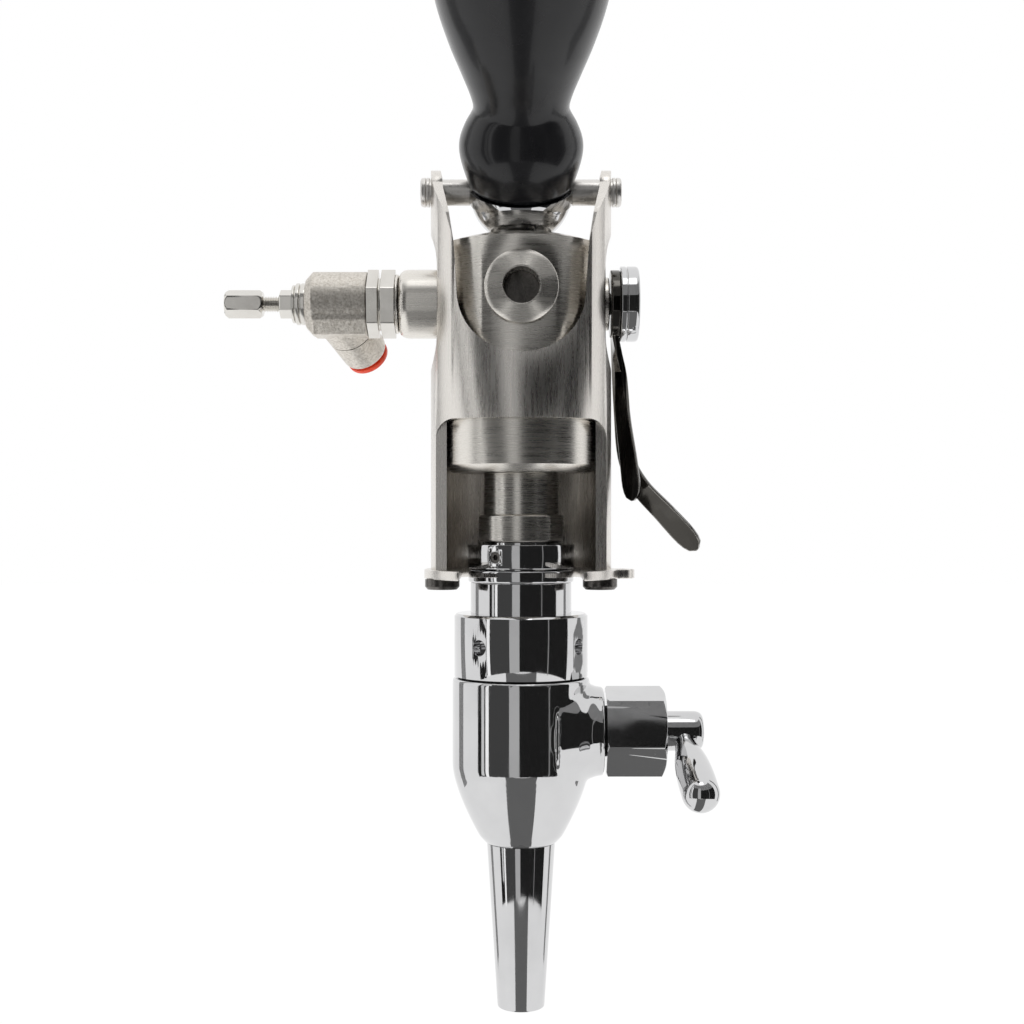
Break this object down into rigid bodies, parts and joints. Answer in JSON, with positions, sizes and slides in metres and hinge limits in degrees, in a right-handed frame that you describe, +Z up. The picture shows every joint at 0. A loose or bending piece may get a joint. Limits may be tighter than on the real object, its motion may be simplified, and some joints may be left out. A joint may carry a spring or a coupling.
{
  "type": "bottle filling beer tap",
  "caption": "Counter-pressure bottle filling tap with a leaning turned handle, lifting steel yoke, gas inlet, finger lever, vent valve and tapered spout.",
  "frame": {"origin": "centre of the rear tail's end face, on the tail's axis at the height of the side ports", "axes": "+Z up along the valve body, +Y out of the rear tail away from the user, +X to the user's right"},
  "size_m": [0.1344, 0.1379, 0.3512],
  "materials": {
    "brushed_body": "turned and brushed stainless steel",
    "yoke_sheet": "brushed stainless sheet",
    "pin_steel": "satin ground steel",
    "dark_screw": "darkened steel",
    "cast_nickel": "nickel plated casting with a rough skin",
    "bright_nickel": "bright nickel plate",
    "chrome_plate": "polished chrome",
    "lever_steel": "polished steel sheet with a brushed edge",
    "red_collet": "moulded red plastic",
    "seal_rubber": "black rubber",
    "black_lacquer": "turned wood under gloss black lacquer"
  },
  "bodies": {
    "tap": {"main_body": "brushed_body", "top_cap": "brushed_body", "boss_ring": "brushed_body", "rear_tail": "brushed_body", "tail_o_ring": "seal_rubber", "left_stub": "brushed_body", "stub_ring": "brushed_body", "union_nut": "bright_nickel", "fitting_body": "cast_nickel", "gland_rings": "bright_nickel", "lock_nut": "bright_nickel", "branch": "cast_nickel", "branch_o_ring": "seal_rubber", "right_hub": "brushed_body", "inner_tube": "brushed_body", "guide_ring": "brushed_body", "stop_collar": "chrome_plate", "set_screw": "dark_screw", "band_seal": "chrome_plate", "outer_tube": "chrome_plate", "ring_nut": "chrome_plate", "nozzle_seal": "seal_rubber", "nozzle_body": "chrome_plate", "spout": "chrome_plate", "spout_o_ring": "seal_rubber", "vent_nut": "chrome_plate", "vent_seat": "seal_rubber"},
    "front_screw": {"front_screw": "dark_screw"},
    "adjuster": {"adjusting_screw": "bright_nickel", "screw_cap": "bright_nickel"},
    "needle": {"needle": "pin_steel"},
    "collet": {"collet": "red_collet"},
    "finger": {"right_spindle": "pin_steel", "right_cap": "chrome_plate", "finger_lever": "lever_steel"},
    "yoke": {"yoke": "yoke_sheet", "guard_ring": "yoke_sheet", "guard_screws": "dark_screw"},
    "handle": {"handle": "black_lacquer", "handle_stud": "pin_steel", "cam_ball": "chrome_plate", "pivot_pins": "pin_steel", "pin_heads": "pin_steel"},
    "valve": {"valve_rod": "pin_steel", "valve_seal": "seal_rubber", "return_spring": "pin_steel"},
    "vent": {"vent_stem": "chrome_plate", "vent_lever": "chrome_plate"}
  },
  "joints": [
    {"name": "yoke_lift", "type": "slide", "parent": "tap", "child": "yoke", "axis": [0, 0, 1], "range_m": [0, 0.005]},
    {"name": "handle_tilt", "type": "hinge", "parent": "yoke", "child": "handle", "pos_m": [0, -0.044, 0.031], "axis": [1, 0, 0], "range_deg": [-70, 0]},
    {"name": "finger_swing", "type": "hinge", "parent": "tap", "child": "finger", "pos_m": [0.026, -0.044, 0], "axis": [1, 0, 0], "range_deg": [-30, 0]},
    {"name": "valve_slide", "type": "slide", "parent": "tap", "child": "valve", "axis": [0, 0, -1], "range_m": [0, 0.002], "deforming": ["return_spring"]},
    {"name": "vent_turn", "type": "hinge", "parent": "tap", "child": "vent", "pos_m": [0.0445, -0.044, -0.1185], "axis": [1, 0, 0], "range_deg": [-90, 0]},
    {"name": "needle_slide", "type": "slide", "parent": "tap", "child": "needle", "axis": [1, 0, 0], "range_m": [-0.0007, 0.0014]},
    {"name": "adjuster_spin", "type": "hinge", "parent": "needle", "child": "adjuster", "pos_m": [-0.075, -0.044, 0], "axis": [1, 0, 0], "range_deg": [-360, 720]},
    {"name": "collet_press", "type": "slide", "parent": "tap", "child": "collet", "axis": [-0.339, -0.7655, 0.5468], "range_m": [0, 0.0008]},
    {"name": "front_screw_turn", "type": "hinge", "parent": "tap", "child": "front_screw", "pos_m": [0, -0.057, 0.0021], "axis": [0, 1, 0], "range_deg": [-90, 90]}
  ],
  "couplings": [
    {"joint": "yoke_lift", "follows": "handle_tilt", "m_per_rad": -0.0040926},
    {"joint": "finger_swing", "follows": "valve_slide", "rad_per_m": -261.8},
    {"joint": "adjuster_spin", "follows": "needle_slide", "rad_per_m": 8976}
  ]
}
